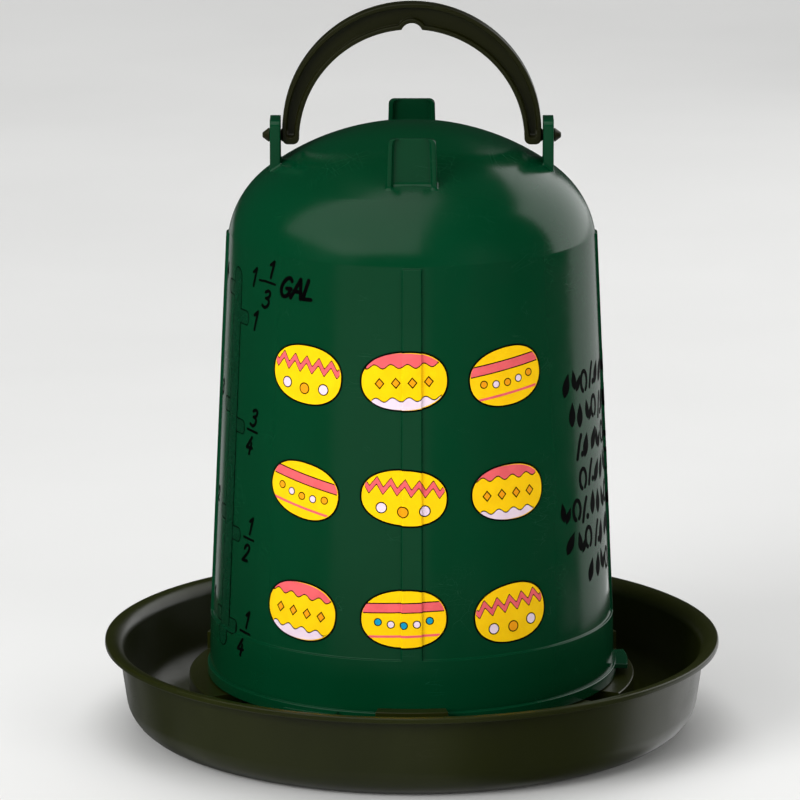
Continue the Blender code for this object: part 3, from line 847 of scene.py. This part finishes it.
def make_ovals(inks):
    w, h = 18.3, 13.0
    line = 0.78

    def put(name, angle, z, lift, ink_name, build):
        bm = bmesh.new()
        build(bm)
        hold_print(wrap(name, bm, angle, z, lift, inks[ink_name]))

    def outlined(tag, angle, z, colour, build_outer, build_inner, level):
        put(f"{tag}_line", angle, z, level, "black", build_outer)
        put(f"{tag}_fill", angle, z, level + 0.03, colour, build_inner)

    for row, z in enumerate(OVAL_ROWS):
        for column, angle in enumerate(OVAL_COLUMNS):
            tag = f"egg_{row + 1}{column + 1}"
            wide = w * (1.03 if column == 1 else 0.97)
            tall = h * (1.0, 0.96, 1.0)[row]
            tilt = math.radians((-7, 0, 5)[column] + (3, -4, 2)[row])

            def turned(build, tilt=tilt):
                def run(bm):
                    build(bm)
                    c, s = math.cos(tilt), math.sin(tilt)
                    for v in bm.verts:
                        x, y = v.co.x, v.co.y
                        v.co.x, v.co.y = x * c - y * s, x * s + y * c
                return run

            put(f"{tag}_rim", angle, z, 0.05, "black", lambda bm: disc(bm, oval_points(wide, tall, 0, tilt=tilt)))
            put(f"{tag}_yolk", angle, z, 0.08, "yellow",
                lambda bm: disc(bm, oval_points(wide, tall, line, tilt=tilt)))
            iw, ih = wide - line - 0.15, tall - line - 0.15
            kind = (row * 3 + column)

            if kind in (0, 4, 8):      # coral zigzag round the upper part, pale spots low down
                def zig(x, base, size=2.2, pitch=6.0):
                    return base + size * (abs(((x / pitch) % 1.0) * 2 - 1) * 2 - 1)
                outlined(f"{tag}_zigzag", angle, z, "coral",
                         turned(lambda bm: band(bm, iw, ih, lambda x: zig(x, 4.4) - 1.9, lambda x: zig(x, 4.4) + 1.9, 0.5)),
                         turned(lambda bm: band(bm, iw, ih, lambda x: zig(x, 4.4) - 1.4, lambda x: zig(x, 4.4) + 1.4, 0.5)),
                         0.11)
                for side in (-1, 0, 1):
                    outlined(f"{tag}_spot{side + 2}", angle, z, "pink" if side else "orange",
                             turned(lambda bm, s=side: spot(bm, s * 9.2, -5.0 - (0 if s else 1.0), 2.5)),
                             turned(lambda bm, s=side: spot(bm, s * 9.2, -5.0 - (0 if s else 1.0), 2.02)), 0.11)
            elif kind in (1, 5, 6):    # coral cap, orange diamonds in a row
                def wave(x, base, size=0.9, pitch=7.0):
                    return base + size * math.sin(2 * math.pi * x / pitch)
                outlined(f"{tag}_cap", angle, z, "coral",
                         turned(lambda bm: band(bm, iw, ih, lambda x: wave(x, 6.3), lambda x: 99.0)),
                         turned(lambda bm: band(bm, iw, ih, lambda x: wave(x, 6.3) + 0.48, lambda x: 99.0)), 0.11)
                outlined(f"{tag}_base", angle, z, "pink",
                         turned(lambda bm: band(bm, iw, ih, lambda x: -99.0, lambda x: wave(x, -7.4))),
                         turned(lambda bm: band(bm, iw, ih, lambda x: -99.0, lambda x: wave(x, -7.4) - 0.48)), 0.11)
                for k, x in enumerate((-10.4, -3.5, 3.5, 10.4)):
                    def diamond(bm, x=x, r=2.5, dy=0.0):
                        disc(bm, [(x - r * 0.85, -0.6), (x, -0.6 - r), (x + r * 0.85, -0.6), (x, -0.6 + r)])
                    outlined(f"{tag}_diamond{k + 1}", angle, z, "orange",
                             turned(lambda bm, d=diamond: d(bm)), turned(lambda bm, d=diamond: d(bm, r=1.75)), 0.11)
            else:                      # stripes and dots
                outlined(f"{tag}_band", angle, z, "coral",
                         turned(lambda bm: band(bm, iw, ih, lambda x: 2.6, lambda x: 7.2)),
                         turned(lambda bm: band(bm, iw, ih, lambda x: 3.08, lambda x: 6.72)), 0.11)
                third = "blue" if kind == 7 else "orange"
                for k, x in enumerate((-11.0, -5.5, 0.0, 5.5, 11.0)):
                    outlined(f"{tag}_dot{k + 1}", angle, z, third if k % 2 == 0 else "pink",
                             turned(lambda bm, x=x: spot(bm, x, -2.6 + 0.012 * x * x, 1.75)),
                             turned(lambda bm, x=x: spot(bm, x, -2.6 + 0.012 * x * x, 1.32)), 0.11)
                put(f"{tag}_thread", angle, z, 0.13, "coral",
                    turned(lambda bm: band(bm, iw, ih, lambda x: -7.9, lambda x: -6.9)))


GLYPHS = {      # pen strokes in a box one unit tall
    "1": (0.28, [[(0.0, 0.76), (0.25, 0.99)], [(0.25, 0.99), (0.25, 0.0)]]),
    "2": (0.54, [[(0.03, 0.74), (0.12, 0.93), (0.30, 1.0), (0.47, 0.90), (0.49, 0.70), (0.34, 0.42), (0.02, 0.03)],
                 [(0.02, 0.03), (0.54, 0.05)]]),
    "3": (0.52, [[(0.05, 0.90), (0.24, 1.0), (0.44, 0.92), (0.46, 0.72), (0.32, 0.58), (0.18, 0.55)],
                 [(0.18, 0.55), (0.40, 0.50), (0.52, 0.32), (0.44, 0.09), (0.22, 0.0), (0.0, 0.10)]]),
    "4": (0.56, [[(0.34, 1.0), (0.0, 0.35)], [(0.0, 0.35), (0.56, 0.37)], [(0.41, 0.66), (0.38, 0.0)]]),
    "G": (0.66, [[(0.60, 0.84), (0.44, 0.99), (0.20, 0.88), (0.04, 0.54), (0.09, 0.18), (0.32, 0.0), (0.56, 0.12),
                  (0.62, 0.42)], [(0.38, 0.43), (0.66, 0.44)]]),
    "A": (0.62, [[(0.0, 0.0), (0.33, 1.0)], [(0.33, 1.0), (0.62, 0.0)], [(0.12, 0.36), (0.54, 0.34)]]),
    "L": (0.50, [[(0.07, 1.0), (0.02, 0.03)], [(0.02, 0.03), (0.50, 0.04)]]),
}


def eased(points, steps=5):
    """A smooth line through a few points."""
    if len(points) < 3:
        return points
    out = []
    ends = [points[0]] + list(points) + [points[-1]]
    for i in range(len(points) - 1):
        p = [Vector(q) for q in ends[i:i + 4]]
        for k in range(steps):
            t = k / steps
            out.append(tuple(0.5 * (
                2 * p[1] + (p[2] - p[0]) * t + (2 * p[0] - 5 * p[1] + 4 * p[2] - p[3]) * t * t
                + (3 * p[1] - p[0] - 3 * p[2] + p[3]) * t * t * t
            )))
    return out + [tuple(points[-1])]


def make_gauge(inks):
    mid, wide = 201.65, 9.4
    low, high = 43.2, 209.5
    z0 = 126.0
    ledge = (50.98, 51.06, 51.14, 51.22, 51.30)

    def tank(bm, inset):
        r = wide / 2 - inset
        a, b = low - z0 + wide / 2, high - z0 - wide / 2
        pts = [(r * math.cos(math.pi * i / 16), b + r * math.sin(math.pi * i / 16)) for i in range(17)]
        pts += [(-r * math.cos(math.pi * i / 16), a - r * math.sin(math.pi * i / 16)) for i in range(17)]
        disc(bm, pts)

    tall = 3.25

    def tab(bm, inset, side):
        r = tall - inset
        reach_out = 12.4
        pts = [(3.9, -r), (reach_out - 2.4, -r)]
        pts += [
            (reach_out - 2.4 + (2.4 - inset) * math.cos(a), r * math.sin(a))
            for a in (math.radians(d) for d in range(-75, 76, 15))
        ]
        pts += [(reach_out - 2.4, r), (3.9, r)]
        disc(bm, [(side * x, y) for x, y in (pts if side > 0 else pts[::-1])])

    bm = bmesh.new()
    tank(bm, 0.0)
    hold_print(wrap("gauge_line", bm, mid, z0, 0.05, inks["black"], ledge))
    for k, (side, z) in enumerate([(1, 189.0), (1, 141.6), (1, 94.3), (1, 53.6), (-1, 199.3), (-1, 147.9), (-1, 100.7), (-1, 55.6)]):
        bm = bmesh.new()
        tab(bm, 0.0, side)
        hold_print(wrap(f"gauge_tab_line{k + 1}", bm, mid, z, 0.05, inks["black"], ledge))
        bm = bmesh.new()
        tab(bm, 0.50, side)
        hold_print(wrap(f"gauge_tab_fill{k + 1}", bm, mid, z, 0.085, inks["strip"], ledge))
    bm = bmesh.new()
    tank(bm, 0.52)
    hold_print(wrap("gauge_fill", bm, mid, z0, 0.11, inks["strip"], ledge))


LEDGE_CUTS = (50.98, 51.06, 51.14, 51.22, 51.30)


def write(name, text, angle, z, height, inks, aside=0.0, slant=0.30, squeeze=1.0, pen=1.42):
    """Plain hand-drawn figures centred a little aside of an angle, with their foot at a height."""
    bm = bmesh.new()
    gap = 0.95
    total = sum(GLYPHS[c][0] for c in text) * height * squeeze + gap * (len(text) - 1)
    x = aside - total / 2 - slant * height / 2
    for c in text:
        width, strokes = GLYPHS[c]
        for line in strokes:
            stroke(bm, [(x + u * height * squeeze + slant * v * height, v * height) for u, v in eased(line)], pen)
        x += width * height * squeeze + gap
    return hold_print(wrap(name, bm, angle, z, 0.07, inks["black"], LEDGE_CUTS if z < 52 else (), 1.4))


def fraction(tag, top, bottom, angle, z, inks, drop=0.0):
    """A written fraction centred on an angle and height."""
    write(f"{tag}_top", top, angle, z + 2.3, 7.2, inks, 1.3)
    write(f"{tag}_low", bottom, angle, z - 10.2 - drop, 7.4, inks, -1.4)
    bm = bmesh.new()
    stroke(bm, [(-3.7, 0.3), (0.0, 0.1), (3.9, -0.2)], 1.05)
    hold_print(wrap(f"{tag}_bar", bm, angle, z, 0.07, inks["black"], LEDGE_CUTS if z < 60 else ()))


def make_numbers(inks):
    write("mark_one", "1", 214.0, 185.3, 8.2, inks)
    fraction("mark_three_quarters", "3", "4", 214.4, 141.4, inks)
    fraction("mark_half", "1", "2", 214.4, 94.3, inks)
    fraction("mark_quarter", "1", "4", 214.2, 53.0, inks)
    write("mark_full_one", "1", 212.7, 204.0, 7.8, inks)
    bm = bmesh.new()
    stroke(bm, [(-1.2, 0.0), (1.2, 0.0)], 1.0)
    hold_print(wrap("mark_full_dash", bm, 216.6, 207.2, 0.07, inks["black"]))
    fraction("mark_full_third", "1", "3", 220.6, 207.1, inks, 0.8)
    write("mark_full_unit", "GAL", 232.4, 202.7, 8.4, inks, squeeze=1.02, pen=1.80)
    for k, (text, z) in enumerate((("4", 201.0), ("3", 149.6), ("2", 102.4), ("1", 58.0))):
        write(f"mark_litre_{k + 1}", text, 188.2, z, 6.4, inks)


def make_seeds(inks):
    """Seven centred rows of scattered seeds and short strokes, in black."""
    rows = ((161.5, 8), (147.3, 8), (133.4, 6), (119.6, 6), (106.0, 9), (92.2, 9), (78.4, 4))
    pitch = 7.6
    for r, (z, count) in enumerate(rows):
        bm = bmesh.new()
        start = -(count - 1) * pitch / 2 + (2.0 if r % 2 else -1.0)
        for k in range(count):
            x = start + k * pitch + 0.7 * math.sin(3.1 * k + r)
            y = 0.8 * math.sin(2.3 * k + 1.7 * r)
            form = (k * 2 + r * 3) % 5
            if form in (0, 3):
                leaf(bm, x, y, 10.8, 5.0, math.radians(72 + 16 * math.sin(k + r)))
            elif form == 1:
                stroke(bm, [(x - 1.7, y - 4.8), (x - 0.7, y - 1.5), (x + 0.4, y + 1.8), (x + 2.0, y + 4.8)], 2.0)
                spot(bm, x + 2.8, y - 3.5, 1.35)
            elif form == 2:
                leaf(bm, x - 1.6, y + 0.8, 9.0, 3.7, math.radians(98))
                leaf(bm, x + 2.0, y - 1.2, 7.6, 3.3, math.radians(60))
            else:
                pts = [(x + 2.9 * math.cos(a), y + 4.4 * math.sin(a)) for a in (math.radians(d) for d in range(-60, 250, 22))]
                stroke(bm, pts, 1.9)
        hold_print(wrap(f"seed_row_{r + 1}", bm, 343.0, z, 0.07, inks["black"], (), 1.4))


# ---- stage, light and camera -----------------------------------------------------------------------
def floor():
    """A broad sheet that runs flat under the object."""
    bm = bmesh.new()
    n = 96
    radii = (0.25, 0.6, 1.2, 2.4, 4.0, 6.5)
    rings = [[bm.verts.new((r * math.cos(2 * math.pi * i / n), r * math.sin(2 * math.pi * i / n), 0)) for i in range(n)] for r in radii]
    bm.faces.new(rings[0])
    for a, b in zip(rings, rings[1:]):
        for i in range(n):
            j = (i + 1) % n
            bm.faces.new((a[i], a[j], b[j], b[i]))
    bmesh.ops.recalc_face_normals(bm, faces=bm.faces)
    mesh = bpy.data.meshes.new("floor")
    bm.to_mesh(mesh)
    bm.free()
    obj = bpy.data.objects.new("floor", mesh)
    SCENE.collection.objects.link(obj)
    obj.location.z = -0.0001
    mat = bpy.data.materials.new("pale_floor")
    nd = Nodes(mat)
    place = nd.put("ShaderNodeTexCoord").outputs["Object"]
    tone = nd.remap(nd.noise(place, 3.0, 3.0), 0.3, 0.7, 0.0, 1.0)
    nd.set("Base Color", nd.blend(tone, (0.78, 0.78, 0.77), (0.82, 0.82, 0.81)))
    nd.set("Roughness", 0.75)
    nd.set("Specular IOR Level", 0.2)
    obj.data.materials.append(mat)
    obj.visible_glossy = False
    obj.visible_shadow = False      # the tall panels reach below it
    return obj


def softbox(name, location, target, size, power, size_y=None, colour=(1, 1, 1), mirrored=True):
    """An area light. One that isn't mirrored lights the object without showing as a highlight on it."""
    light = bpy.data.lights.new(name, "AREA")
    light.shape = "RECTANGLE"
    light.size, light.size_y = size, size_y or size
    light.energy = power
    light.color = colour
    obj = bpy.data.objects.new(name, light)
    obj.location = location
    obj.rotation_euler = (Vector(target) - Vector(location)).to_track_quat("-Z", "Y").to_euler()
    obj.visible_glossy = mirrored
    SCENE.collection.objects.link(obj)
    return obj


def lights():
    world = bpy.data.worlds.new("studio")
    SCENE.world = world
    world.use_nodes = True
    back = world.node_tree.nodes["Background"]
    back.inputs[0].default_value = (0.95, 0.97, 1.0, 1.0)
    back.inputs[1].default_value = 0.015
    middle = (0.0, 0.0, 0.15)
    # even light from the front left and from above
    softbox("front", (-1.42, -1.38, 0.90), middle, 1.2, 35.0, 1.0, mirrored=False)
    softbox("front_right", (1.30, -1.35, 0.60), middle, 1.0, 12.0, mirrored=False)
    softbox("above", (0.0, -0.1, 2.0), middle, 1.6, 12.0, mirrored=False)
    softbox("behind", (0.0, 2.6, 2.6), (0.0, 2.6, 0.0), 2.6, 62.0, mirrored=False)
    # broad level panel over the front left: the wide soft highlight on the dome
    softbox("dome_panel", (-1.16, -1.20, 1.34), (-1.16, -1.20, 0.0), 2.70, 15.2, 2.75)
    # three stacked panels to the right and a little behind: the dome's right highlight, the band down the right
    # wall, and the sheen on the tray's right
    softbox("right_high", (1.04, 0.82, 0.90), (0.0, 0.0, 0.90), 1.58, 9.2, 1.50)
    softbox("right_middle", (0.87, 1.00, -0.075), (0.0, 0.0, -0.075), 1.30, 0.98, 0.45)
    softbox("right_low", (1.00, 0.87, -0.625), (0.0, 0.0, -0.625), 1.72, 2.9, 0.65)
    # low panel in front: the faint sheen down the middle of the wall
    softbox("low_panel", (-0.475, -1.42, -0.05), (0.0, 0.0, -0.05), 1.60, 0.36, 0.40)
    # panel below the front left: the sheen on the tray's outside
    softbox("tray_panel", (-0.68, -0.45, -0.70), (-0.68, -0.45, 0.0), 1.85, 2.4, 2.1)
    # faint panels low behind: the left end of the tray's outside, and the edge of its foot
    softbox("left_low", (-0.80, 1.15, -0.60), (0.0, 0.0, -0.60), 0.90, 0.18, 0.45)
    softbox("foot_panel", (0.0, 0.65, -0.50), (0.0, 0.65, 0.0), 2.0, 0.36, 1.1)
    # slim panel behind on the left: the faint band down the far left wall
    softbox("left_panel", (-0.525, 1.30, -0.17), (0.0, 0.0, -0.17), 0.36, 0.26, 0.55)


def camera():
    data = bpy.data.cameras.new("camera")
    data.lens = 278.6
    data.sensor_width = 36.0
    data.sensor_fit = "HORIZONTAL"
    data.shift_x = -0.01475
    obj = bpy.data.objects.new("camera", data)
    obj.location = (0.0, -2.6131, 0.7551)
    target = Vector((0.0, 0.0, 0.1441))
    obj.rotation_euler = (target - Vector(obj.location)).to_track_quat("-Z", "Y").to_euler()
    data.clip_start, data.clip_end = 0.05, 50.0
    SCENE.collection.objects.link(obj)
    SCENE.camera = obj


# ---- build -----------------------------------------------------------------------------------------
def main():
    SCENE.view_settings.view_transform = "Standard"
    SCENE.view_settings.look = "None"
    SCENE.view_settings.exposure = 0.0

    green = moulded("fount_green", (0.0003, 0.0375, 0.0122), (0.0005, 0.0435, 0.0152), (0.010, 0.100, 0.050),
                    0.19, grain=0.7, bevel=0.30, specular=0.5, wear=0.35)
    olive = moulded("tray_olive", (0.0122, 0.0150, 0.0016), (0.0162, 0.0198, 0.0026), (0.060, 0.064, 0.034),
                    0.32, grain=1.0, bevel=0.35, specular=0.5, wear=0.40)
    olive_handle = moulded("handle_olive", (0.0090, 0.0098, 0.0014), (0.0120, 0.0130, 0.0022), (0.062, 0.064, 0.036),
                           0.32, grain=1.0, bevel=0.25, specular=0.5, wear=0.50)
    inks = {
        "black": ink("ink_black", (0.0008, 0.0008, 0.0009), (0.0014, 0.0014, 0.0015), 0.68, 0.0, 0.04),
        "yellow": ink("ink_yellow", (1.0, 0.61, 0.0005), (0.96, 0.56, 0.0005), 0.38, 0.04, 0.12),
        "coral": ink("ink_coral", (0.86, 0.125, 0.140), (0.78, 0.108, 0.120), 0.38, 0.06, 0.15),
        "orange": ink("ink_orange", (0.92, 0.36, 0.004), (0.85, 0.31, 0.004), 0.38, 0.06, 0.15),
        "pink": ink("ink_pink", (0.84, 0.68, 0.78), (0.78, 0.61, 0.72), 0.40, 0.06, 0.15),
        "blue": ink("ink_blue", (0.006, 0.34, 0.56), (0.006, 0.29, 0.48), 0.38, 0.06, 0.15),
        "strip": ink("ink_strip", (0.0005, 0.0300, 0.0105), (0.0007, 0.0350, 0.0130), 0.28, 0.0, 0.40),
    }

    tray = make_tray(olive)
    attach(tray, "tray")
    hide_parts("tray")
    fount = make_fount(green)
    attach(fount, "fount")
    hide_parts("fount")
    handle = make_handle(olive_handle)
    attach(handle, "handle")
    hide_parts("handle")

    make_ovals(inks)
    make_gauge(inks)
    make_numbers(inks)
    make_seeds(inks)
    join_prints()

    floor()
    lights()
    camera()


main()
